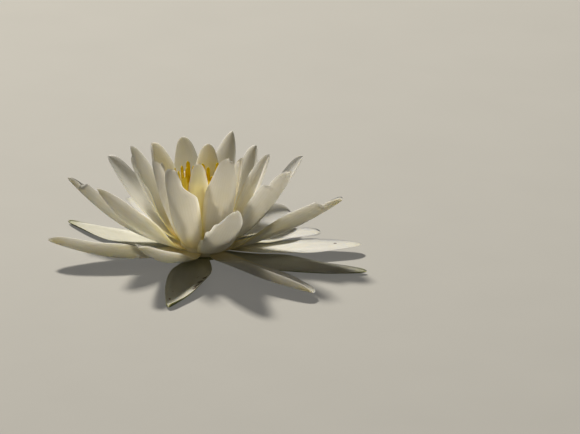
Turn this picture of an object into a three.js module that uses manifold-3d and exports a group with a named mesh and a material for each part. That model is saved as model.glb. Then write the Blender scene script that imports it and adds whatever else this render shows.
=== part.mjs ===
// White water lily flower, cut off just under the bloom, so that it stands on its short stub
// with the sepals spread on the surface round it.
//
// The flower is four solids, from the outside in:
//   calyx    the stub of the stalk, the receptacle that it widens into, and the four sepals
//   petals   the collar of the ovary wall that carries them, and the spiral of white petals
//   stamens  the upper collar and the crown of golden stamens, broad outside and narrow inside
//   pistil   the ovary in the middle, with the stigma's bowl and its ring of curved fingers
//
// Millimetres, +Z up. The origin is the centre of the stub's cut face, which lies at z = 0.
// Azimuths are in degrees, anticlockwise seen from above, with 0 along +X.
import * as THREE from "three";
import { mergeVertices } from "three/addons/utils/BufferGeometryUtils.js";
import Module from "manifold-3d";

const wasm = await Module();
wasm.setup();

// ---- Driving dimensions -------------------------------------------------------------------

const GAP = 0.3; // between the solids of neighbouring parts

const STUB_RADIUS = 4;
const CALYX_RADIUS = 8.2; // where the receptacle carries the sepals
const CALYX_TOP = 2.6;
const SEPAL_ROOT = { radius: 6.6, height: 1.8 };

const OVARY_RADIUS = 4;
const PETAL_COLLAR = { low: 2.9, high: 8.2, lowRadius: 8.4, highRadius: 8 };
const FIRST_PETAL_HEIGHT = 3.4; // of the outermost petal's root, and of the innermost one's
const LAST_PETAL_HEIGHT = 7.2;
const PETAL_ROOT_DEPTH = 1; // how far a root starts inside the collar's wall

const STAMEN_COLLAR = { low: 8.5, high: 10.2, radius: 6.3 };
const STIGMA_HEIGHT = 11;
const STIGMA_RADIUS = 5;

// ---- The petals, from the outermost inwards -----------------------------------------------
// azimuth; reach and height of the tip; width; dip, how many degrees below the line to its tip
// the blade sets off, so that it bends upwards near its root; cup, half the angle of the arc
// across it; roll, how far it is turned about its midrib, left side up; sway, how far its
// middle bows to the left; and notch, the share of the length at which one edge steps in to a
// narrow tip: the left edge, the right one where it is negative, and none at 0. Left and right
// are as seen looking outwards from the root.

const PETALS = [
  // spread almost flat, on the sepals
  [314, 60.2, 3, 16, 2.5, 64, -22, -3, 0],
  [193, 58.5, 10.2, 18, 20, 65, 22, 3, 0],
  [94, 53, 9, 15, 8, 45, 0, 0, 0],
  [7.5, 60, 3.5, 14.5, 5, 12, 0, 0, 0],
  // the second spread, half raised
  [127, 47.4, 9.2, 15, 8, 50, 0, 0, 0],
  [243, 50, 20, 16, 27, 60, 0, 0, 0],
  [352, 52.4, 26.8, 17, 17, 58, -24, 0, -0.87],
  [164, 53, 25, 17, 32, 55, 30, 0, 0.9],
  [80, 47, 20, 14, 16, 50, 0, 0, 0.84],
  [28, 49.5, 2.6, 14, -1, 14, 0, 0, 0],
  // the bowl
  [286.2, 45, 34, 16.4, 24, 60, 0, 0, 0],
  [205.5, 43, 33, 15, 26, 66, 22, 0, 0],
  [147, 42.9, 31, 14, 20, 50, 0, 0, 0],
  [106, 38, 24, 14, 22, 50, 0, 0, 0],
  [12, 37.5, 38, 14, 22, 50, 0, 0, 0],
  [43, 44.6, 7.6, 17, -4, 58, 24, 0, 0],
  [58, 36, 28, 15, 20, 50, 0, 0, 0.84],
  [329, 37, 41.4, 14.6, 20, 65, -20, 0, -0.83],
  [139, 36, 31, 13, 20, 50, 0, 0, 0],
  [246.3, 26.6, 43, 15.4, 20, 62, 0, 0, 0.82],
  // the cup
  [162, 28.8, 40, 14.6, 20, 55, 0, 0, 0],
  [41, 25.4, 38.8, 13, 28, 55, 0, 0, 0],
  [215, 22.6, 42.5, 13, 14, 55, 0, 0, 0],
  [65.5, 24.6, 42.2, 12.6, 19, 55, 0, 1, 0],
  [357, 24.4, 41.4, 15, 17, 55, 18, 0, 0],
  [110.4, 24.2, 39.4, 14.2, 13.5, 55, 0, 0, 0],
  [300, 18.7, 45, 16, 20, 60, 0, 0, 0.95],
  [155.5, 21.6, 41.4, 16.6, 14, 55, 0, 0, 0],
  // the innermost, narrower
  [190, 16, 38, 10, 12, 50, 0, 0, 0],
  [85, 16.6, 39, 12.4, 10, 50, 0, 0, 0],
  [27, 16, 37, 10, 9, 50, 0, 0, 0],
  [331, 14.8, 40.6, 10, 10, 50, 0, 0, 0],
  [127, 14.3, 30, 9, 10, 50, 0, 0, 0],
  [262, 12.9, 41.4, 10, 14, 50, 0, 0, 0],
].map(([azimuth, reach, height, width, dip, cup, roll, sway, notch]) => ({
  azimuth,
  reach,
  height,
  width,
  dip,
  cup,
  roll,
  sway,
  notch,
}));

const SEPALS = [
  { azimuth: 347, reach: 63, height: 0.8, width: 16, dip: 4, cup: 20, sway: -3 },
  { azimuth: 258.5, reach: 57, height: 0.8, width: 15.2, dip: 4.4, cup: 30, sway: 1.2 },
  { azimuth: 147, reach: 61, height: 0.8, width: 13.4, dip: 4.1, cup: 20, sway: 3 },
  { azimuth: 66, reach: 58, height: 0.8, width: 15.5, dip: 4.3, cup: 20, sway: 0 },
];

const STAMEN_COUNT = 68;
const STAMEN_START = 348; // the azimuth of the outermost stamen
const OUTER_STAMEN = { rootRadius: 5.7, reach: 10.8, height: 34.6, width: 2.6, dip: 6 };
const INNER_STAMEN = { rootRadius: 5.35, reach: 4, height: 20, width: 1.5, dip: 14 };
const FINGER_COUNT = 16; // curved fingers round the stigma
const FINGER = { rootRadius: 3.7, reach: 2.6, rise: 3.2, width: 1.1, dip: 40 };

const SEPAL_THICKNESS = 0.9;
const PETAL_THICKNESS = 0.8;
const STAMEN_THICKNESS = 0.7; // of the fingers too

const BLADE_START = -0.02; // where petals and sepals start and end, as shares of their length
const BLADE_END = 0.985;

// ---- Blades -------------------------------------------------------------------------------

const radians = THREE.MathUtils.degToRad;
const { lerp, smoothstep } = THREE.MathUtils;

// Half the width of a petal as a share of its greatest, at a share s of its length: a narrow
// root widens to the belly and closes in a point.
function taperedOutline(s) {
  const root = 0.45;
  const belly = 0.55;
  if (s < belly) return lerp(root, 1, Math.sin(((Math.PI / 2) * Math.max(s, 0)) / belly));
  return (1 - ((s - belly) / (1 - belly)) ** 1.95) ** 0.64;
}

// A notched petal keeps its width further up, and its tip is blunt.
function bluntOutline(s) {
  const root = 0.45;
  const belly = 0.68;
  if (s < belly) return lerp(root, 1, Math.sin(((Math.PI / 2) * Math.max(s, 0)) / belly));
  return (1 - ((s - belly) / (1 - belly)) ** 3.2) ** 0.5;
}

// A sepal is widest nearer its root and more pointed.
function sepalOutline(s) {
  const root = 0.55;
  const belly = 0.45;
  if (s < belly) return lerp(root, 1, Math.sin(((Math.PI / 2) * Math.max(s, 0)) / belly));
  return (1 - ((s - belly) / (1 - belly)) ** 1.9) ** 0.85;
}

const BEND_AT = 0.42; // how far along a blade its midrib's control point is

// The share of the half width that a notch takes: the nearer the tip, the more.
const notchDepth = (notchAt) => lerp(0.24, 0.55, smoothstep(notchAt, 0.82, 0.9));

// A point of a blade's middle surface. s runs from root to tip, t from -1 to 1 across. The
// midrib is a quadratic Bezier curve in the upright plane at the azimuth, bowed sideways by
// the sway, and the section across it is an arc, hollow above.
function bladePoint(blade, s, t) {
  const { root, reach, height } = blade;
  const run = reach - root.radius;
  const climb = height - root.height;
  const setOff = Math.atan2(climb, run) - radians(blade.dip);
  const handle = BEND_AT * Math.hypot(run, climb);
  const bendRun = handle * Math.cos(setOff);
  const bendClimb = handle * Math.sin(setOff);
  const along = root.radius + 2 * s * (1 - s) * bendRun + s * s * run;
  const up = root.height + 2 * s * (1 - s) * bendClimb + s * s * climb;
  const slope = Math.atan2(
    (1 - 2 * s) * bendClimb + s * climb,
    (1 - 2 * s) * bendRun + s * run,
  );

  const stepsIn = blade.notch !== 0 && Math.sign(t) === Math.sign(blade.notch);
  const notchAt = Math.abs(blade.notch);
  const drop = stepsIn ? notchDepth(notchAt) * smoothstep(s, notchAt - 0.04, notchAt + 0.04) : 0;
  const half = (blade.width / 2) * blade.outline(s) * (1 - drop);
  const cup = radians(lerp(blade.rootCup, blade.cup, smoothstep(s, 0, 0.6)));
  const bend = half / cup;
  const across = bend * Math.sin(cup * t);
  const lift = bend * (1 - Math.cos(cup * t));

  const roll = radians(blade.roll) * smoothstep(s, 0, 0.5);
  const left = across * Math.cos(roll) - lift * Math.sin(roll) + blade.sway * 4 * s * (1 - s);
  const above = across * Math.sin(roll) + lift * Math.cos(roll);
  const outwards = along - above * Math.sin(slope);
  const azimuth = radians(blade.azimuth);
  return new THREE.Vector3(
    outwards * Math.cos(azimuth) - left * Math.sin(azimuth),
    outwards * Math.sin(azimuth) + left * Math.cos(azimuth),
    up + above * Math.cos(slope),
  );
}

// The blade's upper normal, from two short steps on its middle surface.
function bladeNormal(blade, s, t) {
  const step = 0.01;
  const outwards = bladePoint(blade, s + step, t).sub(bladePoint(blade, s - step, t));
  const across = bladePoint(blade, s, t + step).sub(bladePoint(blade, s, t - step));
  return outwards.cross(across).normalize();
}

// A closed thin solid round the middle surface, split into triangles alike on both faces. It
// is flat where it lies on the surface under the flower, at z = 0.
function bladeGeometry(blade) {
  const { rows, columns } = blade;
  const points = [];
  for (const face of [0.5, -0.5]) {
    for (let i = 0; i <= rows; i++) {
      const s = lerp(blade.from, blade.to, 1 - (1 - i / rows) ** 1.25);
      for (let j = 0; j <= columns; j++) {
        const t = (2 * j) / columns - 1;
        const normal = bladeNormal(blade, s, t);
        const point = bladePoint(blade, s, t).addScaledVector(normal, face * blade.thickness);
        point.z = Math.max(point.z, 0);
        points.push(point);
      }
    }
  }

  const under = (rows + 1) * (columns + 1); // the first index of the lower face
  const at = (i, j) => i * (columns + 1) + j;
  const triangles = [];
  const quad = (a, b, c, d) => triangles.push(a, b, c, a, c, d);
  for (let i = 0; i < rows; i++) {
    for (let j = 0; j < columns; j++) {
      const [a, b, c, d] = [at(i, j), at(i + 1, j), at(i + 1, j + 1), at(i, j + 1)];
      quad(a, b, c, d);
      triangles.push(a + under, c + under, b + under, a + under, d + under, c + under);
    }
    quad(at(i, 0), at(i, 0) + under, at(i + 1, 0) + under, at(i + 1, 0));
    quad(at(i, columns), at(i + 1, columns), at(i + 1, columns) + under, at(i, columns) + under);
  }
  for (let j = 0; j < columns; j++) {
    quad(at(0, j), at(0, j + 1), at(0, j + 1) + under, at(0, j) + under);
    quad(at(rows, j), at(rows, j) + under, at(rows, j + 1) + under, at(rows, j + 1));
  }

  const geometry = new THREE.BufferGeometry().setFromPoints(points);
  geometry.setIndex(triangles);
  return geometry;
}

// ---- Solids -------------------------------------------------------------------------------

// A closed geometry as a manifold-3d solid.
function solidOf(geometry) {
  const bare = geometry.clone();
  bare.deleteAttribute("normal");
  bare.deleteAttribute("uv");
  const merged = mergeVertices(bare, 1e-4);
  return new wasm.Manifold(
    new wasm.Mesh({
      numProp: 3,
      vertProperties: new Float32Array(merged.attributes.position.array),
      triVerts: new Uint32Array(merged.index.array),
    }),
  );
}

// A solid turned about the axis. The profile is [radius, height] pairs, closed or from axis
// to axis, with its inside on the left as it is walked.
function turned(profile, segments) {
  const points = profile.map(([radius, height]) => new THREE.Vector2(radius, height));
  const geometry = new THREE.LatheGeometry(points, segments);
  geometry.rotateX(Math.PI / 2); // the lathe turns about +Y
  return solidOf(geometry);
}

// The geometries and solids grown together as one body: hollows that this seals are filled,
// and loose scraps are dropped.
function grownTogether(core, blades) {
  const joined = blades.reduce((all, blade) => all.add(solidOf(bladeGeometry(blade))), core);
  const bodies = joined.decompose();
  bodies.sort((a, b) => b.volume() - a.volume());
  return bodies[0];
}

function meshOf(name, solid, material) {
  const { vertProperties, triVerts } = solid.getMesh();
  const geometry = new THREE.BufferGeometry();
  geometry.setAttribute("position", new THREE.BufferAttribute(vertProperties, 3));
  geometry.setIndex(new THREE.BufferAttribute(triVerts, 1));
  geometry.computeVertexNormals();
  const mesh = new THREE.Mesh(geometry, material);
  mesh.name = name;
  return mesh;
}

// ---- Calyx: stub, receptacle and sepals ---------------------------------------------------

const receptacle = turned(
  [
    [0, 0],
    [STUB_RADIUS, 0],
    [STUB_RADIUS, 0.7],
    [STUB_RADIUS + 2.6, 1.1],
    [CALYX_RADIUS, 1.6],
    [CALYX_RADIUS, CALYX_TOP],
    [0, CALYX_TOP],
  ],
  32,
);

const sepals = SEPALS.map((sepal) => ({
  ...sepal,
  rootCup: 8,
  roll: 0,
  notch: 0,
  root: SEPAL_ROOT,
  outline: sepalOutline,
  thickness: SEPAL_THICKNESS,
  from: BLADE_START,
  to: BLADE_END,
  rows: 8,
  columns: 4,
}));

const calyx = meshOf(
  "calyx",
  grownTogether(receptacle, sepals),
  new THREE.MeshStandardMaterial({ color: 0x8c9463, roughness: 0.55, metalness: 0 }),
);

// ---- Petals -------------------------------------------------------------------------------

const petalCollar = turned(
  [
    [OVARY_RADIUS + GAP, PETAL_COLLAR.low],
    [PETAL_COLLAR.lowRadius, PETAL_COLLAR.low],
    [PETAL_COLLAR.highRadius, PETAL_COLLAR.high],
    [OVARY_RADIUS + GAP, PETAL_COLLAR.high],
    [OVARY_RADIUS + GAP, PETAL_COLLAR.low],
  ],
  32,
);

const petals = PETALS.map((petal, i) => {
  const inwards = i / (PETALS.length - 1); // 0 for the outermost petal, 1 for the innermost
  const height = lerp(FIRST_PETAL_HEIGHT, LAST_PETAL_HEIGHT, inwards);
  const wall = lerp(PETAL_COLLAR.lowRadius, PETAL_COLLAR.highRadius, inwards);
  return {
    ...petal,
    root: { radius: wall - PETAL_ROOT_DEPTH, height },
    outline: petal.notch === 0 ? taperedOutline : bluntOutline,
    rootCup: 12,
    thickness: PETAL_THICKNESS,
    from: BLADE_START,
    to: BLADE_END,
    rows: 8,
    columns: 4,
  };
});

const corolla = meshOf(
  "petals",
  grownTogether(petalCollar, petals),
  new THREE.MeshStandardMaterial({ color: 0xf1ecd9, roughness: 0.5, metalness: 0 }),
);

// ---- Stamens ------------------------------------------------------------------------------

const stamenCollar = turned(
  [
    [OVARY_RADIUS + GAP, STAMEN_COLLAR.low],
    [STAMEN_COLLAR.radius, STAMEN_COLLAR.low],
    [STAMEN_COLLAR.radius - 0.4, STAMEN_COLLAR.high],
    [OVARY_RADIUS + GAP + 0.5, STAMEN_COLLAR.high],
    [OVARY_RADIUS + GAP, STAMEN_COLLAR.low],
  ],
  32,
);

const GOLDEN_ANGLE = 137.508; // from each stamen to the next, as leaves follow round a stem

// A spread of -1 to 1 that is the same each time, from the fraction of a fast sine.
const jitter = (seed) => 2 * ((Math.abs(Math.sin(seed * 12.9898) * 43758.5453) % 1) - 0.5);

const stamens = Array.from({ length: STAMEN_COUNT }, (_, i) => {
  const inwards = i / (STAMEN_COUNT - 1);
  return {
    azimuth: (STAMEN_START + i * GOLDEN_ANGLE) % 360,
    reach: lerp(OUTER_STAMEN.reach, INNER_STAMEN.reach, inwards ** 1.3) + 0.4 * jitter(i + 1),
    height: lerp(OUTER_STAMEN.height, INNER_STAMEN.height, inwards ** 1.7) + 1.2 * jitter(i + 303),
    width: lerp(OUTER_STAMEN.width, INNER_STAMEN.width, Math.sqrt(inwards)),
    dip: lerp(OUTER_STAMEN.dip, INNER_STAMEN.dip, inwards),
    roll: 0,
    sway: 0,
    notch: 0,
    root: {
      radius: lerp(OUTER_STAMEN.rootRadius, INNER_STAMEN.rootRadius, inwards),
      height: STAMEN_COLLAR.high - 0.8,
    },
    outline: (s) => lerp(1, 0.7, smoothstep(s, 0.1, 1)),
    cup: 15,
    rootCup: 15,
    thickness: STAMEN_THICKNESS,
    from: 0,
    to: 1,
    rows: 3,
    columns: 1,
  };
});

const crown = meshOf(
  "stamens",
  grownTogether(stamenCollar, stamens),
  new THREE.MeshStandardMaterial({ color: 0xe0a214, roughness: 0.6, metalness: 0 }),
);

// ---- Pistil: ovary and stigma -------------------------------------------------------------

const ovary = turned(
  [
    [0, PETAL_COLLAR.low],
    [OVARY_RADIUS, PETAL_COLLAR.low],
    [OVARY_RADIUS, STIGMA_HEIGHT - 1.4],
    [STIGMA_RADIUS - 0.4, STIGMA_HEIGHT - 0.6],
    [STIGMA_RADIUS - 0.6, STIGMA_HEIGHT],
    [3, STIGMA_HEIGHT - 0.7],
    [1.1, STIGMA_HEIGHT - 1],
    [0.8, STIGMA_HEIGHT - 0.1],
    [0, STIGMA_HEIGHT + 0.2],
  ],
  32,
);

const fingers = Array.from({ length: FINGER_COUNT }, (_, i) => ({
  azimuth: (i * 360) / FINGER_COUNT,
  reach: FINGER.reach,
  height: STIGMA_HEIGHT + FINGER.rise,
  width: FINGER.width,
  dip: FINGER.dip,
  roll: 0,
  sway: 0,
  notch: 0,
  root: { radius: FINGER.rootRadius, height: STIGMA_HEIGHT - 0.8 },
  outline: (s) => lerp(1, 0.6, s),
  cup: 15,
  rootCup: 15,
  thickness: STAMEN_THICKNESS,
  from: 0,
  to: 1,
  rows: 2,
  columns: 1,
}));

const pistil = meshOf(
  "pistil",
  grownTogether(ovary, fingers),
  new THREE.MeshStandardMaterial({ color: 0xd9b23a, roughness: 0.5, metalness: 0 }),
);

// ---- The flower ---------------------------------------------------------------------------

const flower = new THREE.Group();
flower.add(calyx, corolla, crown, pistil);

export default flower;
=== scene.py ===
# %% [markdown]
# # A white water lily
#
# The flower was cut just under the bloom, and stands on the short stub of its stalk with its
# four sepals spread on the table. Everything here is dressed over a fixed frame, the solid
# model of the same flower: this script loads it, replaces its thick plain blades with thin
# waved ones, and gives every surface the finish of the living plant.
#
# Lengths are worked out in millimetres, as in the solid model, and turned into Blender's
# metres when a mesh is made.

import bpy
import numpy as np
from mathutils import Matrix, Vector


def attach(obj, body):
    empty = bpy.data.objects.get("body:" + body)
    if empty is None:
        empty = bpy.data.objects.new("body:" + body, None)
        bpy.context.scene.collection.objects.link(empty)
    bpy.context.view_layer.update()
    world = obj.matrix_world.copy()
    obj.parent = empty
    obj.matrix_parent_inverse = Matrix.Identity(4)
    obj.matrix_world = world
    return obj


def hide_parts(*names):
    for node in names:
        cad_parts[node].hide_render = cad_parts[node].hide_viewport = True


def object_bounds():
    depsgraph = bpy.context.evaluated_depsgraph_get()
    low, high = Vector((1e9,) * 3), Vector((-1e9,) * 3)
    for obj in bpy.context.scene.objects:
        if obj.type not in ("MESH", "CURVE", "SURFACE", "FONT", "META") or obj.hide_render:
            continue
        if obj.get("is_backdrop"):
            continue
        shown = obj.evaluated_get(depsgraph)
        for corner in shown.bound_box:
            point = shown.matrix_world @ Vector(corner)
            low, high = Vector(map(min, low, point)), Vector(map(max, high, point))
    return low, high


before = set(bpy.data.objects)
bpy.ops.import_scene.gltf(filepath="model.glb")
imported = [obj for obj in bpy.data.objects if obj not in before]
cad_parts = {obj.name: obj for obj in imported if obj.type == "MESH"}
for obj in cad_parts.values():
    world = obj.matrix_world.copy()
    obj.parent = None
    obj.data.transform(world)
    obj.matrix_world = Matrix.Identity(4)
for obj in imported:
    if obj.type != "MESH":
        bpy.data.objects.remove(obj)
frame_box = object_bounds()
print("frame:", sorted(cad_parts))
print("its box, m:", [tuple(round(v, 4) for v in corner) for corner in frame_box])

# %% [markdown]
# ## The camera
#
# A low camera, 20 degrees above the table, looks over the near petals into the cup. A long
# lens from well back keeps the near and the far petals the same size, as a telephoto lens
# does across a pond. The flower stands left of the middle, and the camera is turned a little
# about its own axis, so the flower leans slightly to the right. A lens shift could place the
# flower too, but aiming beside it does the same and stays right when the view turns.

# %% Camera
MM = 0.001  # metres in a millimetre

ELEVATION = np.radians(20)
LEAN = 0.022  # radians, about the camera's own axis
DISTANCE = 2500 * MM
VIEW_WIDTH = 214.6 * MM  # how wide the frame is, at the flower
AIM_RIGHT, AIM_UP = 32.2 * MM, 15.5 * MM  # where the frame's middle is, from the stub's foot

back = Vector((0, -np.cos(ELEVATION), np.sin(ELEVATION)))
level_right = Vector((1, 0, 0))
level_up = back.cross(level_right)
aim = AIM_RIGHT * level_right + AIM_UP * level_up

right = np.cos(LEAN) * level_right + np.sin(LEAN) * level_up
up = np.cos(LEAN) * level_up - np.sin(LEAN) * level_right
turn = Matrix((right, up, back)).transposed()

lens = bpy.data.cameras.new("camera")
lens.sensor_width = 36
lens.lens = lens.sensor_width * DISTANCE / VIEW_WIDTH
camera = bpy.data.objects.new("camera", lens)
camera.matrix_world = Matrix.Translation(aim + DISTANCE * back) @ turn.to_4x4()
bpy.context.scene.collection.objects.link(camera)
bpy.context.scene.camera = camera
print("lens:", round(lens.lens), "mm")

# %% [markdown]
# ## The blade: one surface for petals, sepals, stamens and fingers
#
# Every leaf-like piece of the flower is the same idea: a midrib that bends upwards, and a
# hollow arc across it. Modelling each by hand or with sculpting would lose the order of the
# flower, so one formula makes them all from a row of numbers, the same row that the solid
# model uses. `s` runs along a blade from root to tip and `t` across it from -1 to 1.
#
# What the solid model leaves out or keeps plain is added to the same formula: the waves along
# a margin, the shallow folds that run lengthwise, and the fine shape of a notch, where one
# edge of a petal steps in to a narrow tip.

# %% Small formulas
def ease(x, low, high):
    """0 below low and 1 above high, with an S-curve between: 3u^2 - 2u^3."""
    u = np.clip((x - low) / (high - low), 0, 1)
    return u * u * (3 - 2 * u)


def between(first, last, share):
    """From first to last by that share of the way."""
    return first + (last - first) * share


def bump_at(x, centre, spread):
    """A smooth hump of height 1: e to the minus square of the distance in spreads."""
    return np.exp(-(((x - centre) / spread) ** 2))


# %% The blade's surface
BEND_AT = 0.42  # how far along a blade its midrib's control point is
ROOT, TIP = -0.02, 0.992  # where a blade starts and ends, as shares of its numbers' length
CUPPED_AT, ROLLED_AT = 0.6, 0.5  # how far along it has its full cup and its full roll


def midrib(blade, s):
    """Distance from the axis, height and slope of the midrib, a quadratic Bezier curve: root,
    a handle that sets off dip degrees below the straight line, and tip."""
    run = blade["reach"] - blade["root_radius"]
    climb = blade["height"] - blade["root_height"]
    set_off = np.arctan2(climb, run) - np.radians(blade["dip"])
    handle = BEND_AT * np.hypot(run, climb)
    bend_run, bend_climb = handle * np.cos(set_off), handle * np.sin(set_off)
    along = blade["root_radius"] + 2 * s * (1 - s) * bend_run + s * s * run
    height = blade["root_height"] + 2 * s * (1 - s) * bend_climb + s * s * climb
    slope = np.arctan2((1 - 2 * s) * bend_climb + s * climb, (1 - 2 * s) * bend_run + s * run)
    return along, height, slope


def on_blade(blade, s, t):
    """Points of the middle surface, in mm: the midrib, plus an arc across it whose half angle
    is the cup, turned by the roll and bowed sideways by the sway, plus the fine relief."""
    along, height, slope = midrib(blade, s)
    half = blade["width"] / 2 * blade["outline"](s) * blade["margin"](s, t)
    cup = np.radians(between(blade["root_cup"], blade["cup"], ease(s, 0, CUPPED_AT)))
    across = half / cup * np.sin(cup * t)
    lift = half / cup * (1 - np.cos(cup * t)) + blade["relief"](s, t)

    roll = np.radians(blade["roll"]) * ease(s, 0, ROLLED_AT)
    left = across * np.cos(roll) - lift * np.sin(roll) + blade["sway"] * 4 * s * (1 - s)
    above = across * np.sin(roll) + lift * np.cos(roll)
    outwards = along - above * np.sin(slope)
    azimuth = np.radians(blade["azimuth"])
    x = outwards * np.cos(azimuth) - left * np.sin(azimuth)
    y = outwards * np.sin(azimuth) + left * np.cos(azimuth)
    return np.stack(np.broadcast_arrays(x, y, height + above * np.cos(slope)), axis=-1)


# %% A closed skin round the blade
STEP_S, STEP_T = 0.004, 0.01  # the short steps that a normal is taken from
NARROW_FROM = 0.97  # past this a blade is too narrow to step across
TIP_CROWDING = 1.9  # 1 would space the rows evenly, and more crowds them towards the tip


def upper_normal(blade, s, t):
    """The unit normal of the upper face: the cross product of two short steps."""
    s = np.clip(s, STEP_S, NARROW_FROM)
    lengthwise = on_blade(blade, s + STEP_S, t) - on_blade(blade, s - STEP_S, t)
    sideways = on_blade(blade, s, t + STEP_T) - on_blade(blade, s, t - STEP_T)
    normal = np.cross(lengthwise, sideways)
    return normal / np.linalg.norm(normal, axis=-1, keepdims=True)


def skin(blade, rows, around):
    """Rings round the blade, (rows, around, 3) in mm, with s and t at each point. A ring's
    angle goes over the upper face and back under it: t is its cosine, and the skin stands
    off the middle surface by half the thickness times its sine to the power 1.5, which thins
    the blade out to a fine rounded margin."""
    share = np.linspace(0, 1, rows)[:, None]
    s = between(ROOT, TIP, 1 - (1 - share) ** TIP_CROWDING)
    angle = np.linspace(0, 2 * np.pi, around, endpoint=False)[None, :]
    t = np.cos(angle)
    off = blade["thickness"](s, t) / 2 * np.sin(angle) * np.sqrt(np.abs(np.sin(angle)))
    rings = on_blade(blade, s, t) + upper_normal(blade, s, t) * off[..., None]
    rings[..., 2] = np.maximum(rings[..., 2], 0)  # it lies flat where it meets the table
    s, t, side = np.broadcast_arrays(s, t, np.sin(angle))
    return rings, s, t, side


# %% [markdown]
# ## From rings to a mesh
#
# A petal is thin but not a sheet: light goes in on one face and comes out on the other, and
# Blender follows that only in a closed skin. So a piece is a stack of rings, joined one to
# the next, with a centre point closing each end. A turned piece, such as the ovary, is the
# same stack, and a collar joins its last ring to its first.

# %% Rings to mesh
def closed_mesh(name, rings, material, marks=None, endless=False):
    """A smooth closed mesh from rings (count, around, 3) in mm. Each quad joins neighbours on
    two rings, and a fan closes each end. marks are named values at the ring points, for the
    material to read."""
    count, around = rings.shape[:2]
    points = rings.reshape(-1, 3)
    here = np.arange(around)
    beside = (here + 1) % around
    ring = np.arange(count if endless else count - 1)[:, None]
    start, after = ring * around, (ring + 1) % count * around
    corners = [start + here, start + beside, after + beside, after + here]
    faces = np.stack(corners, axis=-1).reshape(-1, 4).tolist()
    if not endless:
        points = np.concatenate([points, rings[[0, -1]].mean(axis=1)])
        last, foot, top = (count - 1) * around, count * around, count * around + 1
        faces += np.stack([beside, here, np.full(around, foot)], axis=-1).tolist()
        faces += np.stack([last + here, last + beside, np.full(around, top)], axis=-1).tolist()

    mesh = bpy.data.meshes.new(name)
    mesh.from_pydata(points * MM, [], faces)
    if enclosed_volume(mesh) < 0:
        mesh.flip_normals()
    for label, values in (marks or {}).items():
        values = np.broadcast_to(values, (count, around)).reshape(-1)
        if not endless:
            values = np.append(values, [values[:around].mean(), values[-around:].mean()])
        attribute = mesh.attributes.new(label, "FLOAT", "POINT")
        attribute.data.foreach_set("value", values.astype(np.float32))
    mesh.polygons.foreach_set("use_smooth", np.ones(len(mesh.polygons), dtype=bool))
    mesh.materials.append(material)
    piece = bpy.data.objects.new(name, mesh)
    bpy.context.scene.collection.objects.link(piece)
    return piece


def enclosed_volume(mesh):
    """Signed volume: a . (b x c) / 6, summed over its triangles. It is positive when they look
    outwards."""
    mesh.calc_loop_triangles()
    points = np.empty(len(mesh.vertices) * 3)
    mesh.vertices.foreach_get("co", points)
    corners = np.empty(len(mesh.loop_triangles) * 3, dtype=np.int64)
    mesh.loop_triangles.foreach_get("vertices", corners)
    a, b, c = points.reshape(-1, 3)[corners.reshape(-1, 3)].transpose(1, 0, 2)
    return float(np.einsum("ij,ij->", a, np.cross(b, c)) / 6)


triangles = {}  # of each piece, by name


def stand_for(piece, node):
    """The piece takes the place of that solid and moves with the flower."""
    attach(piece, "root")
    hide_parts(node)
    piece.data.calc_loop_triangles()
    triangles[piece.name] = len(piece.data.loop_triangles)


# %% [markdown]
# ## Finishes
#
# A material here is a small tree of nodes. One function adds a node with its settings and
# what feeds it, and one turns hex colours, as a screen shows them, into the linear light that
# Blender reckons in. Colours go through nodes and marks, and not through a painted picture,
# so they stay sharp in a close view.

# %% Colour and node helpers
def linear(code):
    """sRGB hex to linear RGBA: c / 12.92 below 0.04045, else ((c + 0.055) / 1.055) ^ 2.4."""
    c = np.array([int(code[i : i + 2], 16) for i in (1, 3, 5)]) / 255
    rgb = np.where(c < 0.04045, c / 12.92, ((c + 0.055) / 1.055) ** 2.4)
    return (*rgb.tolist(), 1.0)


def add(material, kind, feeds=None, **settings):
    """Adds one node. feeds maps a socket's name or number to a value, or to the output socket
    of another node, which is then linked."""
    made = material.node_tree.nodes.new("ShaderNode" + kind)
    for name, value in settings.items():
        setattr(made, name, value)
    for socket, value in (feeds or {}).items():
        if isinstance(value, bpy.types.NodeSocket):
            material.node_tree.links.new(value, made.inputs[socket])
        else:
            made.inputs[socket].default_value = value
    return made


def new_material(name):
    """A material with no nodes."""
    material = bpy.data.materials.new(name)
    material.use_nodes = True
    material.node_tree.nodes.clear()
    return material


# Set so, a Mix node mixes colours: input 0 is the share, 6 and 7 the two, and output 2 the mix.
RGBA = {"data_type": "RGBA"}


# %% [markdown]
# ### Living petal
#
# A water lily's petal is a few layers of cells full of water and air under a waxy skin. It
# looks white because the air scatters light, and it lets much of it through: a petal with the
# sun behind it glows warm. Subsurface scattering gives that in a closed skin. The blue part
# of the light is lost first, so its radius is the shortest. Fine veins run from root to tip,
# and every petal is yellower where it grows out of the flower, most in the heart.

# %% Petal material
TISSUE_IOR = 1.42  # of plant tissue: a little above water's 1.33
VEIN, BLEMISH = "#d5d3bd", "#4a3118"
VEIN_PHASE = 47.0  # radians from the midrib to a margin, which is 15 waves from edge to edge
VEIN_STRENGTH = 0.13


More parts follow.
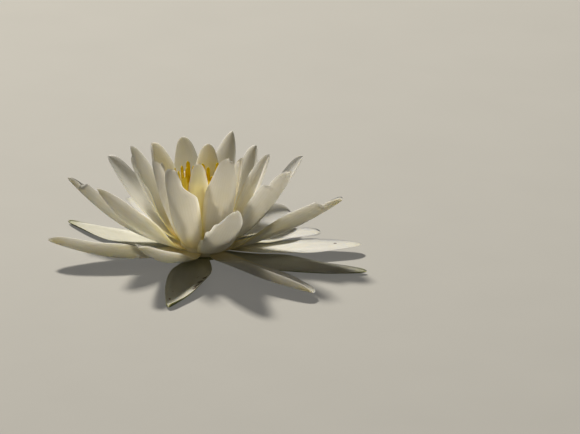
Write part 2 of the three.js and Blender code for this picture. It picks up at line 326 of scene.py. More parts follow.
def petal_material(name, face, mottle, heart, under, glow):
    """Waxy petal tissue: face is its colour and mottle what clouds it, heart the colour at
    its root, under the tint of its outer face, and glow how many mm light goes in it before
    it scatters. It reads the marks on the mesh: along, across, warmth, outer, rust."""
    material = new_material(name)
    along = add(material, "Attribute", attribute_name="along").outputs["Fac"]
    across = add(material, "Attribute", attribute_name="across").outputs["Fac"]
    warmth = add(material, "Attribute", attribute_name="warmth").outputs["Fac"]
    outer = add(material, "Attribute", attribute_name="outer").outputs["Fac"]
    rust = add(material, "Attribute", attribute_name="rust").outputs["Fac"]

    # Veins: 15 across a petal 15 mm wide is one each millimetre, as on the real petal. A noise
    # stretched along the petal bends them, so that no two run quite alike.
    blade = add(material, "CombineXYZ", {"X": across, "Y": along}).outputs[0]
    pulled = add(material, "Mapping", {"Vector": blade, "Scale": (5, 1.6, 1)}).outputs[0]
    streaks = add(material, "TexNoise", {"Vector": pulled, "Scale": 2.2, "Detail": 3}).outputs["Fac"]
    bend = add(material, "Math", {0: streaks, 1: 3.0}, operation="MULTIPLY").outputs[0]
    fan = {0: across, 1: VEIN_PHASE, 2: bend}
    phase = add(material, "Math", fan, operation="MULTIPLY_ADD").outputs[0]
    vein = add(material, "Math", {0: phase}, operation="SINE").outputs[0]
    line = add(material, "MapRange", {"Value": vein, "From Min": 0.2, "From Max": 1.0}).outputs[0]
    faint = add(material, "Math", {0: line, 1: VEIN_STRENGTH}, operation="MULTIPLY").outputs[0]

    # Cells of the waxy skin are a twentieth of a millimetre. They are drawn at half a
    # millimetre, where they just break up the gloss. The mottling's clouds are 7 mm across,
    # and the specks that break up a blemish 1 mm.
    place = add(material, "TexCoord").outputs["Object"]
    cells = add(material, "TexNoise", {"Vector": place, "Scale": 2000, "Detail": 2}).outputs["Fac"]
    cloud = add(material, "TexNoise", {"Vector": place, "Scale": 140, "Detail": 3}).outputs["Fac"]
    speck = add(material, "TexNoise", {"Vector": place, "Scale": 900, "Detail": 4}).outputs["Fac"]

    clouded = {"Value": cloud, "From Min": 0.35, "From Max": 0.7, "To Max": 0.35}
    tint = add(material, "MapRange", clouded).outputs[0]
    shade = add(material, "Mix", {0: tint, 6: linear(face), 7: linear(mottle)}, **RGBA).outputs[2]
    veined = add(material, "Mix", {0: faint, 6: shade, 7: linear(VEIN)}, **RGBA).outputs[2]
    backed = add(material, "Mix", {0: outer, 6: veined, 7: linear(under)}, **RGBA).outputs[2]
    warm = add(material, "Mix", {0: warmth, 6: backed, 7: linear(heart)}, **RGBA).outputs[2]
    edged = add(material, "Math", {0: rust, 1: speck}, operation="MULTIPLY").outputs[0]
    spot = add(material, "MapRange", {"Value": edged, "From Min": 0.2, "From Max": 0.42}).outputs[0]
    colour = add(material, "Mix", {0: spot, 6: warm, 7: linear(BLEMISH)}, **RGBA).outputs[2]

    grooved = {0: line, 1: -1.0, 2: cells}
    relief = add(material, "Math", grooved, operation="MULTIPLY_ADD").outputs[0]
    bump = add(material, "Bump", {"Height": relief, "Strength": 0.08, "Distance": 0.3 * MM})
    gloss = add(material, "MapRange", {"Value": cells, "To Min": 0.38, "To Max": 0.56}).outputs[0]
    shader = add(
        material,
        "BsdfPrincipled",
        {
            "Base Color": colour,
            "Roughness": gloss,
            "Normal": bump.outputs[0],
            "IOR": TISSUE_IOR,
            "Subsurface Weight": 1.0,
            "Subsurface Radius": (1.0, 0.94, 0.8),
            "Subsurface Scale": glow * MM,
        },
    )
    add(material, "OutputMaterial", {"Surface": shader.outputs[0]})
    return material


HEART = "#f7dc5e"
petal_white = petal_material("waxy white petal", "#f5f4ee", "#ebeade", HEART, "#ecebe0", glow=1.7)
# The firm tissue glows less. On the petals at the left and at the back it stands in for shade:
# painted shade.
petal_firm_or_shaded = petal_material("firm petal with painted shade", "#f4f3ed", "#e9e8da", HEART, "#e9e9dc", glow=0.8)
print("petal material:", len(petal_white.node_tree.nodes), "nodes")

# %% [markdown]
# ## The petals
#
# The petals follow each other in a spiral, from the outermost, spread on the sepals, to the
# narrow ones that stand round the stamens. Scattering copies of one petal would be quicker,
# but no two are alike. Each row below is one petal, with the same numbers as its solid, in mm
# and degrees: azimuth; reach and height of the tip; width; dip, how far below the straight
# line it sets off; cup, half the angle across it; roll about its midrib; sway to the left; and
# notch, how far along one edge steps in to a narrow tip: the left edge, seen from the root, or
# the right one where it is negative.

# %% Petal numbers
PETALS = [
    # spread almost flat, on the sepals
    (314, 60.2, 3, 16, 2.5, 64, -22, -3, 0),
    (193, 58.5, 10.2, 18, 20, 65, 22, 3, 0),
    (94, 53, 9, 15, 8, 45, 0, 0, 0),
    (7.5, 60, 3.5, 14.5, 5, 12, 0, 0, 0),
    # the second spread, half raised
    (127, 47.4, 9.2, 15, 8, 50, 0, 0, 0),
    (243, 50, 20, 16, 27, 60, 0, 0, 0),
    (352, 52.4, 26.8, 17, 17, 58, -24, 0, -0.87),
    (164, 53, 25, 17, 32, 55, 30, 0, 0.9),
    (80, 47, 20, 14, 16, 50, 0, 0, 0.84),
    (28, 49.5, 2.6, 14, -1, 14, 0, 0, 0),
    # the bowl
    (286.2, 45, 34, 16.4, 24, 60, 0, 0, 0),
    (205.5, 43, 33, 15, 26, 66, 22, 0, 0),
    (147, 42.9, 31, 14, 20, 50, 0, 0, 0),
    (106, 38, 24, 14, 22, 50, 0, 0, 0),
    (12, 37.5, 38, 14, 22, 50, 0, 0, 0),
    (43, 44.6, 7.6, 17, -4, 58, 24, 0, 0),
    (58, 36, 28, 15, 20, 50, 0, 0, 0.84),
    (329, 37, 41.4, 14.6, 20, 65, -20, 0, -0.83),
    (139, 36, 31, 13, 20, 50, 0, 0, 0),
    (246.3, 26.6, 43, 15.4, 20, 62, 0, 0, 0.82),
    # the cup
    (162, 28.8, 40, 14.6, 20, 55, 0, 0, 0),
    (41, 25.4, 38.8, 13, 28, 55, 0, 0, 0),
    (215, 22.6, 42.5, 13, 14, 55, 0, 0, 0),
    (65.5, 24.6, 42.2, 12.6, 19, 55, 0, 1, 0),
    (357, 24.4, 41.4, 15, 17, 55, 18, 0, 0),
    (110.4, 24.2, 39.4, 14.2, 13.5, 55, 0, 0, 0),
    (300, 18.7, 45, 16, 20, 60, 0, 0, 0.95),
    (155.5, 21.6, 41.4, 16.6, 14, 55, 0, 0, 0),
    # the innermost, narrower
    (190, 16, 38, 10, 12, 50, 0, 0, 0),
    (85, 16.6, 39, 12.4, 10, 50, 0, 0, 0),
    (27, 16, 37, 10, 9, 50, 0, 0, 0),
    (331, 14.8, 40.6, 10, 10, 50, 0, 0, 0),
    (127, 14.3, 30, 9, 10, 50, 0, 0, 0),
    (262, 12.9, 41.4, 10, 14, 50, 0, 0, 0),
]
PETAL_FIELDS = ("azimuth", "reach", "height", "width", "dip", "cup", "roll", "sway", "notch")
FIRST_ROOT_HEIGHT, LAST_ROOT_HEIGHT = 3.4, 7.2  # mm, of the outermost and the innermost root
FIRST_ROOT_RADIUS, LAST_ROOT_RADIUS = 7.4, 7.0
PETAL_ROOT_CUP = 12  # degrees, half the angle across the flatter root
print(len(PETALS), "rows, span", 2 * max(row[1] for row in PETALS), "mm at most")

# %% What the bud and the weather did to each petal
draw = np.random.default_rng(11)  # seeded, so that every run grows the same flower

PETAL_ROOT = 0.45  # how wide a petal's root is, as a share of its greatest width
PETAL_CHANGES = (0.5, 0.95)  # where its outline goes over to the shape of its tip
OUTLINES = {  # the belly's place, the powers p and e past it, and e at the very tip
    "tapered": (0.55, 1.95, 0.64, 0.48),
    "pointed": (0.55, 1.95, 0.68, 0.66),
    "rounded": (0.6, 2.5, 0.54, 0.46),
    "blunt": (0.68, 3.2, 0.5, 0.48),
}
# The other petals are tapered, or blunt where they have a notch.
SHAPES = {10: "pointed", 11: "pointed", 23: "pointed", 26: "tapered", 27: "rounded"}


def outline(root, belly, p, e, tip_e, changes):
    """Half width as a share of its greatest: a quarter sine from the root's share to the
    belly, then (1 - u^p)^e, with u from 0 at the belly to 1 at the tip. Between the two
    values of u in changes, e goes over to tip_e: a half rounds the tip, and more leaves a
    point."""

    def share(s):
        u = np.clip((s - belly) / (TIP - belly), 0, 1)
        rising = between(root, 1, np.sin(np.pi / 2 * np.clip(s / belly, 0, 1)))
        return np.where(s < belly, rising, (1 - u**p) ** between(e, tip_e, ease(u, *changes)))

    return share


def petal_margin(notch, phase, torn=True):
    """A margin in or out by up to two hundredths, and the notch: on its side the width drops.
    A torn notch, deeper near the tip, drops in a short step with a nick at its foot. One that
    grew is deep, and eases in as a round shoulder."""
    notch_at = abs(notch)
    depth = between(0.26, 0.46, ease(notch_at, 0.82, 0.9)) if torn else 0.62
    before, after, nick_depth = (0.012, 0.012, 0.1) if torn else (0.13, 0.035, 0)

    def share(s, t):
        edge = 1 + 0.012 * np.sin(9 * s + phase[0]) + 0.006 * np.sin(21 * s + phase[1] + t)
        nick = nick_depth * bump_at(s, notch_at + after, 0.012)
        drop = depth * ease(s, notch_at - before, notch_at + after) + nick
        return edge * np.where((notch != 0) & (np.sign(t) == np.sign(notch)), 1 - drop, 1)

    return share


NO_FLARE = (0, 0, 1, 0)


def petal_relief(wave, phase, flare=NO_FLARE):
    """Mm above the smooth arc: waves that grow with the fourth power of t towards a margin,
    and lengthwise folds, a slow sine across, strongest half way up. A flare (side, from, to,
    depth) rolls the outer third of that side back by so many mm, with a ruffle along it."""
    side, start, end, depth = flare

    def above(s, t):
        margin = wave * t**4 * np.sin(13 * s + phase[2] + np.sign(t)) * ease(s, 0.15, 0.5)
        folds = 0.1 * np.sin(7.5 * t + phase[3]) * np.sin(np.pi * np.clip(s, 0, 1))
        stretch = ease(s, start, start + 0.12) * (1 - ease(s, end - 0.04, end))
        rolled = depth * (1 + 0.3 * np.sin(38 * s)) * ease(side * t, 0.66, 1) ** 1.3 * stretch
        return margin + folds * (1 - t * t) - rolled

    return above


def thinned_at_tip(s):
    """1 along the blade, and down to a tenth over the last few hundredths as a circle falls
    away, so that the blade ends in a fine edge and not in a cut."""
    return np.sqrt(1 - 0.99 * ease(s, 0.94, TIP) ** 2)


def petal_thickness(s, t):
    """0.9 mm in the fleshy root, 0.55 mm half way, and 0.4 mm near the tip."""
    return (between(0.9, 0.55, ease(s, 0, 0.4)) - 0.15 * ease(s, 0.5, 0.95)) * thinned_at_tip(s)


# %% Grow the petals
SHOULDERED = (19,)  # petals whose notch grew as a round shoulder
FLARES = {  # petals whose edge rolls back: side, from, to, depth in mm
    10: (-1, 0.42, 0.985, 1.5),
    19: (1, 0.86, 1.0, 1.5),
    20: (1, 0.6, 1.0, 0.6),
}


def petal_blade(i, row):
    """The row's numbers, with the root's place on the spiral and this petal's own waves.
    inwards is 0 for the outermost petal and 1 for the innermost."""
    inwards = i / (len(PETALS) - 1)
    phase = draw.uniform(0, 2 * np.pi, 4)
    wave = draw.uniform(0.12, 0.4)
    blade = dict(zip(PETAL_FIELDS, row))
    shape = SHAPES.get(i, "tapered" if blade["notch"] == 0 else "blunt")
    blade.update(
        inwards=inwards,
        root_radius=between(FIRST_ROOT_RADIUS, LAST_ROOT_RADIUS, inwards),
        root_height=between(FIRST_ROOT_HEIGHT, LAST_ROOT_HEIGHT, inwards),
        root_cup=PETAL_ROOT_CUP,
        outline=outline(PETAL_ROOT, *OUTLINES[shape], PETAL_CHANGES),
        margin=petal_margin(blade["notch"], phase, torn=i not in SHOULDERED),
        relief=petal_relief(wave, phase, FLARES.get(i, NO_FLARE)),
        thickness=petal_thickness,
    )
    return blade


# Some let less light through, so they show darker: the outer ones, and some at the left and at the
# back, where that darkness is painted shade.
FIRM_OR_SHADED_PETALS = (*range(10), 11, 13, 16, 20, 25, 27, 29)
SPOTS = {  # s, t, and radius in mm
    2: [(0.7, -0.2, 0.6)],
    3: [(0.83, 0.45, 0.9)],
    8: [(0.62, 0.3, 0.5)],
}


def spotted(blade, spots, s, t):
    """A round hump of height 1 at each spot: e to the minus square of the distance in radii."""
    marks = np.zeros_like(s)
    for centre_s, centre_t, radius in spots:
        lengthwise = (s - centre_s) * blade["reach"] / radius
        marks += np.exp(-(lengthwise**2) - ((t - centre_t) * blade["width"] / 2 / radius) ** 2)
    return marks


def petal_marks(blade, spots, s, t, side):
    """What the petal material reads. The warmth fades from the root, and reaches furthest up
    along the margins and on the innermost petals. It is stronger on the inner petals, and on
    the face that looks into the flower, but the innermost have it alike on both faces. The
    outer petals' tips have weathered yellow and freckled, and spots are where an insect bit."""
    inwards = blade["inwards"]
    facing_in = between(between(0.55, 1, inwards**6), 1, ease(side, -0.4, 0.4))
    faded = 1 - ease(s, -0.05, between(0.35, 1.5, inwards**8))
    margin = 0.9 * ease(np.abs(t), 0.7, 1) * (1 - ease(s, 0.3, 0.85))
    strength = between(0.4, 1, inwards**0.7)
    weathered = 0.22 * (1 - inwards) ** 3 * ease(s, 0.88, 0.97)
    return {
        "along": s,
        "across": t,
        "warmth": strength * np.clip(faded * facing_in + margin, 0, 1) + weathered,
        "outer": ease(-side, 0, 0.6) * 0.5 * (1 - ease(s, 0.2, 0.9)),
        "rust": spotted(blade, spots, s, t) + 0.3 * (1 - inwards) * ease(s, 0.93, 1),
    }


PETAL_GRID = {"rows": 76, "around": 52}  # fine enough for a smooth edge in a close view

for i, row in enumerate(PETALS):
    blade = petal_blade(i, row)
    rings, s, t, side = skin(blade, **PETAL_GRID)
    tissue = petal_firm_or_shaded if i in FIRM_OR_SHADED_PETALS else petal_white
    marks = petal_marks(blade, SPOTS.get(i, []), s, t, side)
    stand_for(closed_mesh(f"petal_{i + 1:02d}", rings, tissue, marks), "petals")
print(len(PETALS), "petals,", sum(triangles.values()), "triangles")

# %% [markdown]
# ## Sepals
#
# The four sepals wrapped the bud, so their outer faces are leaf green, and their inner faces
# grew almost as white as a petal, with green left along the margins and at the tip. They are
# the thickest blades of the flower, and they lie on the table. They could have a material for
# each face, but then the colour would change along a hard line. A mark that blends the two
# keeps it soft.

# %% Sepal material
# It is the petal's tree of nodes: the mark outer blends the white face over to leaf green.
WHITE_SIDE, CLOUDS, FOOT, LEAF_SIDE = "#dcdcd2", "#c2c2b0", "#cfd0a8", "#8e9658"
sepal_skin = petal_material("two-faced sepal", WHITE_SIDE, CLOUDS, FOOT, LEAF_SIDE, glow=0.4)
print("sepal material:", len(sepal_skin.node_tree.nodes), "nodes")

# %% Sepal numbers
SEPALS = [
    (347, 63, 0.8, 16, 4, 20, -3),
    (258.5, 57, 0.8, 15.2, 4.4, 30, 1.2),
    (147, 61, 0.8, 13.4, 4.1, 20, 3),
    (66, 58, 0.8, 15.5, 4.3, 20, 0),
]
SEPAL_FIELDS = ("azimuth", "reach", "height", "width", "dip", "cup", "sway")
SEPAL_CURLS = [0.35, 1.1, 0.35, 0.5]  # mm that the margins stand up
SEPAL_ROOT_RADIUS, SEPAL_ROOT_HEIGHT, SEPAL_ROOT_CUP = 6.6, 1.8, 8
SEPAL_SPOTS = [  # s, t, and radius in mm; one margin of the second sepal has gone brown
    [(0.58, -0.4, 0.6), (0.8, 0.3, 0.4)],
    [
        (0.72, -0.5, 0.6),
        (0.86, -0.5, 1),
        (0.4, 0.35, 0.9),
        (0.42, 0.8, 1.6),
        (0.5, 0.72, 1.9),
        (0.58, 0.62, 1.7),
        (0.64, 0.66, 1.3),
    ],
    [(0.6, 0.2, 0.5)],
    [(0.66, -0.3, 0.5)],
]

# %% Sepal shape
# It is widest nearer the root than a petal, and more pointed.
sepal_outline = outline(root=0.55, belly=0.45, p=1.9, e=0.85, tip_e=0.72, changes=(0.8, 1))


def sepal_relief(phase, curl):
    """A petal's waves and folds, and both margins curled up: that many mm times t^8."""
    soft = petal_relief(0.3, phase)
    return lambda s, t: soft(s, t) + curl * t**8 * ease(s, 0.15, 0.5)


def sepal_thickness(s, t):
    """1.2 mm at the root and 0.7 mm from half way."""
    return between(1.2, 0.7, ease(s, 0, 0.5)) * thinned_at_tip(s)


# %% Grow the sepals
def sepal_blade(row, curl):
    """The row's numbers, with a slight curl up along the margins."""
    phase = draw.uniform(0, 2 * np.pi, 4)
    blade = dict(zip(SEPAL_FIELDS, row))
    blade.update(
        root_cup=SEPAL_ROOT_CUP,
        roll=0,
        root_radius=SEPAL_ROOT_RADIUS,
        root_height=SEPAL_ROOT_HEIGHT,
        outline=sepal_outline,
        margin=petal_margin(0, phase),
        relief=sepal_relief(phase, curl),
        thickness=sepal_thickness,
    )
    return blade


def sepal_marks(blade, spots, s, t, side):
    """Green spreads from the outer face over the margins and the tip."""
    rim = ease(np.abs(t), 0.9, 1) * 0.15 + ease(s, 0.88, 1) * 0.6
    return {
        "along": s,
        "across": t,
        "warmth": 0.6 * (1 - ease(s, 0, 0.4)),
        "outer": np.clip(ease(-side, -0.1, 0.5) + rim, 0, 1),
        "rust": spotted(blade, spots, s, t) + 0.4 * ease(s, 0.93, 1),
    }


for i, (row, curl, spots) in enumerate(zip(SEPALS, SEPAL_CURLS, SEPAL_SPOTS)):
    blade = sepal_blade(row, curl)
    rings, s, t, side = skin(blade, **PETAL_GRID)
    marks = sepal_marks(blade, spots, s, t, side)
    stand_for(closed_mesh(f"sepal_{i + 1}", rings, sepal_skin, marks), "calyx")
print(len(SEPALS), "sepals,", sum(triangles.values()), "triangles so far")

# %% [markdown]
# ## The receptacle and the collar
#
# The stalk widens under the flower into the receptacle, and the wall of the ovary above it is
# what petals and stamens grow from. They are turned shapes: a profile carried round the axis.
# A Screw modifier would do that too, but rings worked out here go through the same closed mesh
# as everything else.

# %% Turned pieces
def turned(profile, around=96, per_step=6):
    """Rings of a profile of (radius, height) pairs in mm, each straight step cut in per_step,
    with the radius and the angle at each point."""
    profile = np.array(profile, dtype=float)
    place = np.linspace(0, len(profile) - 1, (len(profile) - 1) * per_step + 1)
    radius = np.interp(place, np.arange(len(profile)), profile[:, 0])[:, None]
    height = np.interp(place, np.arange(len(profile)), profile[:, 1])[:, None]
    angle = np.linspace(0, 2 * np.pi, around, endpoint=False)[None, :]
    parts = np.broadcast_arrays(radius * np.cos(angle), radius * np.sin(angle), height)
    return np.stack(parts, axis=-1), radius, angle


# %% Stalk material
def stalk_material():
    """Stalk tissue: olive green with a paler mottle 2 mm across, and matt from its pores."""
    material = new_material("stalk tissue")
    place = add(material, "TexCoord").outputs["Object"]
    mottle = add(material, "TexNoise", {"Vector": place, "Scale": 600, "Detail": 4}).outputs["Fac"]
    pores = add(material, "TexVoronoi", {"Vector": place, "Scale": 700}).outputs["Distance"]
    olive, straw = linear("#7c8450"), linear("#a39a62")
    green = add(material, "Mix", {0: mottle, 6: olive, 7: straw}, **RGBA).outputs[2]
    bump = add(material, "Bump", {"Height": pores, "Strength": 0.4, "Distance": 0.4 * MM})
    shader = add(
        material,
        "BsdfPrincipled",
        {
            "Base Color": green,
            "Roughness": 0.6,
            "Normal": bump.outputs[0],
            "IOR": TISSUE_IOR,
        },
    )
    add(material, "OutputMaterial", {"Surface": shader.outputs[0]})
    return material


stalk = stalk_material()
print("stalk material:", len(stalk.node_tree.nodes), "nodes")

# %% Receptacle
STUB_PROFILE = [(0, 0), (3.7, 0), (4, 0.2), (4, 0.7)]
FLARED_PROFILE = [(6.4, 1.1), (8, 1.5), (8.2, 1.8), (8.1, 2.4), (7.7, 2.6), (0, 2.6)]
receptacle_rings, _, _ = turned(STUB_PROFILE + FLARED_PROFILE)
stand_for(closed_mesh("receptacle", receptacle_rings, stalk), "calyx")
print("receptacle:", triangles["receptacle"], "triangles")

# %% Petal collar
WALL_PROFILE = [(4.3, 2.9), (8.2, 2.9), (8.4, 3.2), (8.1, 7.9), (7.8, 8.2), (4.3, 8.2), (4.3, 2.9)]
COLLAR_MARKS = {"along": 0.1, "across": 0.0, "warmth": 0.3, "outer": 0.6, "rust": 0.0}
collar_rings, _, _ = turned(WALL_PROFILE)
# The profile is a loop, so its last ring, a copy of the first, is left off.
collar = closed_mesh("petal_collar", collar_rings[:-1], petal_white, COLLAR_MARKS, endless=True)
stand_for(collar, "petals")
print("petal collar:", triangles["petal_collar"], "triangles")

# %% [markdown]
# ## Stamens
#
# The stamens crowd round the heart. Each is a flat golden strap, the filament, whose upper
# two thirds carry two long pollen sacs. They show as two ridges, so they are made as extra
# thickness of the same blade and not as pieces of their own. The outer stamens are broad and
# long, the inner ones short and thin, and they bend towards the middle.

# %% Stamen material
def stamen_material():
    """Filament and anther in one: pale waxy yellow below, and dusty gold where the mark anther
    says that pollen sits. Pollen grains are 0.03 mm, drawn here at 0.2 mm."""
    material = new_material("golden stamen")
    anther = add(material, "Attribute", attribute_name="anther").outputs["Fac"]
    place = add(material, "TexCoord").outputs["Object"]
    grain = add(material, "TexNoise", {"Vector": place, "Scale": 5000, "Detail": 2}).outputs["Fac"]
    patch = add(material, "TexNoise", {"Vector": place, "Scale": 700, "Detail": 3}).outputs["Fac"]
    deep, bright = linear("#f2cc00"), linear("#ffee30")
    gold = add(material, "Mix", {0: patch, 6: deep, 7: bright}, **RGBA).outputs[2]
    colour = add(material, "Mix", {0: anther, 6: linear("#f6dc6a"), 7: gold}, **RGBA).outputs[2]
    dusty = add(material, "Math", {0: grain, 1: anther}, operation="MULTIPLY").outputs[0]
    bump = add(material, "Bump", {"Height": dusty, "Strength": 0.5, "Distance": 0.3 * MM})
    gloss = add(material, "MapRange", {"Value": anther, "To Min": 0.42, "To Max": 0.85}).outputs[0]
    shader = add(
        material,
        "BsdfPrincipled",
        {
            "Base Color": colour,
            "Roughness": gloss,
            "Normal": bump.outputs[0],
            "IOR": TISSUE_IOR,
            "Subsurface Weight": 0.3,
            "Subsurface Radius": (1.0, 0.95, 0.5),
            "Subsurface Scale": 0.5 * MM,
        },
    )
    add(material, "OutputMaterial", {"Surface": shader.outputs[0]})
    return material


golden = stamen_material()
print("stamen material:", len(golden.node_tree.nodes), "nodes")

# %% Stamen shape
STAMEN_COUNT = 68
STAMEN_START = 348  # degrees, the azimuth of the outermost
GOLDEN_ANGLE = 137.508  # degrees from each stamen to the next, as leaves follow round a stem
SAC_HEIGHT = 0.22  # mm that a pollen sac stands out


def jitter(seed):
    """A spread of -1 to 1 from the fraction of a fast sine, the same as in the solid."""
    return 2 * (abs(np.sin(seed * 12.9898) * 43758.5453) % 1 - 0.5)


def stamen_outline(s):
    """A strap that narrows to three quarters, with a rounded tip."""
    return between(1, 0.74, ease(s, 0.1, 1)) * np.sqrt(1 - ease(s, 0.95, TIP) ** 2)


def stamen_thickness(s, t):
    """A flat 0.55 mm, and on both faces the pollen sacs: ridges either side of the midline,
    from a third of the way up to just below the tip."""
    sacs = bump_at(np.abs(t), 0.5, 0.3) * ease(s, 0.34, 0.44) * (1 - ease(s, 0.93, 0.98))
    return 0.55 + 2 * SAC_HEIGHT * sacs


def straight_margin(s, t):
    """No waves along the margin."""
    return 1


def smooth_face(s, t):
    """No relief on the face, at every point of the grid."""
    return np.zeros(np.broadcast(s, t).shape)


def stamen_blade(i):
    """The same rule as the solid's: reach, height and width shrink inwards along the spiral."""
    inwards = i / (STAMEN_COUNT - 1)
    return {
        "azimuth": (STAMEN_START + i * GOLDEN_ANGLE) % 360,
        "reach": between(10.8, 4, inwards**1.3) + 0.4 * jitter(i + 1),
        "height": between(34.6, 20, inwards**1.7) + 1.2 * jitter(i + 303),
        "width": between(2.6, 1.5, np.sqrt(inwards)),
        "dip": between(6, 14, inwards),
        "cup": 15,
        "root_cup": 15,
        "roll": 0,
        "sway": 0.5 * jitter(i + 201),
        "root_radius": between(5.7, 5.35, inwards),
        "root_height": 9.4,
        "outline": stamen_outline,
        "margin": straight_margin,
        "relief": smooth_face,
        "thickness": stamen_thickness,
    }


# %% Grow the stamens
STAMEN_GRID = {"rows": 26, "around": 20}
STAMEN_RUNS = 4  # the spiral in four pieces, from the outer stamens to the inner ones


def joined(name, skins, material, marks):
    """One mesh from several skins with the same grid, which share their marks."""
    pieces = [closed_mesh(f"{name}_{k}", rings, material, marks) for k, rings in enumerate(skins)]
    with bpy.context.temp_override(active_object=pieces[0], selected_editable_objects=pieces):
        bpy.ops.object.join()
    pieces[0].name = pieces[0].data.name = name
    return pieces[0]


_, s, _, side = skin(stamen_blade(0), **STAMEN_GRID)
stamen_marks = {"anther": ease(s, 0.3, 0.45) * between(0.55, 1, ease(side, 0, 0.3))}
all_stamens = [skin(stamen_blade(i), **STAMEN_GRID)[0] for i in range(STAMEN_COUNT)]
per_run = STAMEN_COUNT // STAMEN_RUNS
for k in range(STAMEN_RUNS):
    run = all_stamens[k * per_run : (k + 1) * per_run]
    stand_for(joined(f"stamens_{k + 1}", run, golden, stamen_marks), "stamens")
print(STAMEN_COUNT, "stamens,", triangles["stamens_1"], "triangles in each run")

# %% Stamen collar
CROWN_PROFILE = [(4.3, 8.5), (6.3, 8.5), (6.1, 9.8), (5.8, 10.2), (4.8, 10.2), (4.3, 8.5)]
crown_rings, _, _ = turned(CROWN_PROFILE)
crown = closed_mesh("stamen_collar", crown_rings[:-1], golden, {"anther": 0.0}, endless=True)
stand_for(crown, "stamens")
print("stamen collar:", triangles["stamen_collar"], "triangles")

# %% [markdown]
# ## Pistil
#
# In the very middle is the ovary. Its top is a shallow yellow bowl with a ray for each seed
# chamber and a small knob in the middle, ringed by short fingers that curve inwards over it.
# The bowl is turned, and then its rays are raised by a cosine that goes 16 times round. The
# fingers are blades again, short and bent far over.

# %% Pistil material
def pistil_material():
    """Moist waxy yellow: smooth, a little glossy, and paler on the rays."""
    material = new_material("waxy yellow stigma")
    ray = add(material, "Attribute", attribute_name="ray").outputs["Fac"]
    place = add(material, "TexCoord").outputs["Object"]
    cloud = add(material, "TexNoise", {"Vector": place, "Scale": 900, "Detail": 3}).outputs["Fac"]
    ochre, butter = linear("#c9a12c"), linear("#e7c04a")
    yellow = add(material, "Mix", {0: cloud, 6: ochre, 7: butter}, **RGBA).outputs[2]
    colour = add(material, "Mix", {0: ray, 6: yellow, 7: linear("#f0d676")}, **RGBA).outputs[2]
    bump = add(material, "Bump", {"Height": cloud, "Strength": 0.3, "Distance": 0.3 * MM})
    shader = add(
        material,
        "BsdfPrincipled",
        {
            "Base Color": colour,
            "Roughness": 0.38,
            "Normal": bump.outputs[0],
            "IOR": TISSUE_IOR,
            "Subsurface Weight": 0.5,
            "Subsurface Radius": (1.0, 0.7, 0.25),
            "Subsurface Scale": 1.0 * MM,
        },
    )
    add(material, "OutputMaterial", {"Surface": shader.outputs[0]})
    return material


stigma_yellow = pistil_material()
print("pistil material:", len(stigma_yellow.node_tree.nodes), "nodes")

# %% Ovary and stigma
RAYS = 16  # seed chambers, and as many fingers round them
RAY_HEIGHT = 0.3  # mm
BOWL_FLOOR = 9.9  # mm, below all of the bowl and above the ovary's foot
OVARY_PROFILE = [(0, 2.9), (3.8, 2.9), (4, 3.2), (4, 9.6), (4.6, 10.4), (4.7, 10.9), (4.4, 11.1)]
STIGMA_PROFILE = [(3, 10.4), (1.1, 10), (0.9, 10.7), (0.5, 11.1), (0, 11.2)]
rings, radius, angle = turned(OVARY_PROFILE + STIGMA_PROFILE, around=128)
on_bowl = ease(radius, 1.0, 1.8) * (1 - ease(radius, 4.2, 4.5)) * (rings[..., :1, 2] > BOWL_FLOOR)
rays = on_bowl * np.maximum(np.cos(RAYS * angle), 0) ** 2
rings[..., 2] += RAY_HEIGHT * rays
stand_for(closed_mesh("ovary", rings, stigma_yellow, {"ray": rays}), "pistil")
print("ovary:", RAYS, "rays,", triangles["ovary"], "triangles")

# %% Fingers
def finger_outline(s):
    """It narrows evenly, and closes over its last sixth."""
    return between(1, 0.6, s) * np.sqrt(1 - ease(s, 0.82, 1.0))


def finger_thickness(s, t):
    """Three quarters of a millimetre, narrowing as the outline does."""
    return 0.75 * between(1, 0.6, s) * np.sqrt(1 - 0.9 * ease(s, 0.82, 1.0))


def finger_blade(i):
    """A short finger that stands just inside the bowl's rim and bends inwards over it."""
    return {
        "azimuth": i * 360 / RAYS,
        "reach": 2.6 + 0.3 * jitter(i + 301),
        "height": 14.2 + 0.3 * jitter(i + 401),
        "width": 1.1,
        "dip": 40,
        "cup": 15,
        "root_cup": 15,
        "roll": 0,
        "sway": 0.15 * jitter(i + 501),
        "root_radius": 3.7,
        "root_height": 10.2,
        "outline": finger_outline,
        "margin": straight_margin,
        "relief": smooth_face,
        "thickness": finger_thickness,
    }


finger_skins = [skin(finger_blade(i), rows=18, around=16)[0] for i in range(RAYS)]
fingers = joined("stigma_fingers", finger_skins, stigma_yellow, {"ray": 0.35})
stand_for(fingers, "pistil")
print(RAYS, "fingers,", len(triangles), "pieces,", sum(triangles.values()), "triangles in all")

# %% [markdown]
# ## Table and light
#
# A plain pale table, and the light of a clear morning made with studio lamps. One softbox high
# behind the flower on the left lights the tops of the petals and shines through the standing
# ones. A weak, broad fill in front and a dim even surround open the shadows. The table is
# faintly lit from inside, as a light table is, so its shadows stay soft and pale. A stronger
# fill would do the same, but it would flatten the flower too.

# %% Table
HALF_TABLE = 6.0  # m from the middle to an edge
TABLE_TOP = -0.1 * MM  # just under the flower, so that no two faces share a height


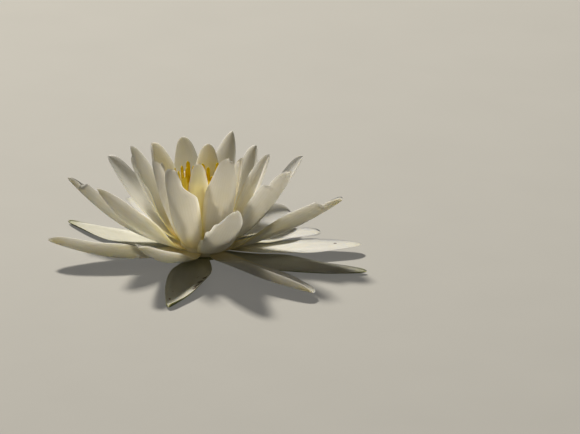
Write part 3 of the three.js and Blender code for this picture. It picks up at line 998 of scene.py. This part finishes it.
def table_material():
    """Matt laminate: a pale warm grey with a very faint mottle 30 mm across."""
    material = new_material("matt pale laminate")
    place = add(material, "TexCoord").outputs["Object"]
    mottle = add(material, "TexNoise", {"Vector": place, "Scale": 30, "Detail": 2}).outputs["Fac"]
    dark, light = linear("#aaa9a5"), linear("#afaeaa")
    grey = add(material, "Mix", {0: mottle, 6: dark, 7: light}, **RGBA).outputs[2]
    shader = add(
        material,
        "BsdfPrincipled",
        {
            "Base Color": grey,
            "Roughness": 0.85,
            "Emission Color": linear("#f2f0ea"),
            "Emission Strength": 0.14,
        },
    )
    add(material, "OutputMaterial", {"Surface": shader.outputs[0]})
    return material


table_corners = np.array([(-1, -1, 0), (1, -1, 0), (1, 1, 0), (-1, 1, 0)]) * HALF_TABLE
table_corners[:, 2] = TABLE_TOP
table_mesh = bpy.data.meshes.new("table")
table_mesh.from_pydata(table_corners, [], [(0, 1, 2, 3)])
table_mesh.materials.append(table_material())
table = bpy.data.objects.new("table", table_mesh)
bpy.context.scene.collection.objects.link(table)
table.visible_diffuse = False  # its light reaches the eye, and not the flower's shaded sides
table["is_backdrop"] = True
print("table:", 2 * HALF_TABLE, "m square")

# %% Lamps
MIDDLE = Vector((0, 0, 20 * MM))  # about half way up the flower


def lamp(name, direction, distance, size, power, colour):
    """A square softbox that far away in that direction, facing the flower. Sizes are in m."""
    light = bpy.data.lights.new(name, "AREA")
    light.size, light.energy, light.color = size, power, linear(colour)[:3]
    holder = bpy.data.objects.new(name, light)
    away = Vector(direction).normalized()
    facing = away.to_track_quat("Z", "Y").to_matrix().to_4x4()
    holder.matrix_world = Matrix.Translation(MIDDLE + distance * away) @ facing
    bpy.context.scene.collection.objects.link(holder)
    print(f"{name}: {power} W, {size} m square, {distance} m away")


lamp("sun_softbox", (-0.31, 0.47, 0.82), 1.8, 0.26, 34, "#fff8ea")
lamp("front_fill", (0.35, -0.8, 0.5), 1.6, 1.2, 0.62, "#fdf0d6")

surround = bpy.data.worlds.new("surround")
surround.use_nodes = True
surround.node_tree.nodes["Background"].inputs["Color"].default_value = linear("#f3ead4")
surround.node_tree.nodes["Background"].inputs["Strength"].default_value = 0.05
bpy.context.scene.world = surround
bpy.context.scene.view_settings.view_transform = "Standard"

# %% Sizes and finish
dressed_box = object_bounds()
growth = np.diff(dressed_box, axis=0)[0] / np.diff(frame_box, axis=0)[0]
print("dressed / frame size:", growth.round(3).tolist())
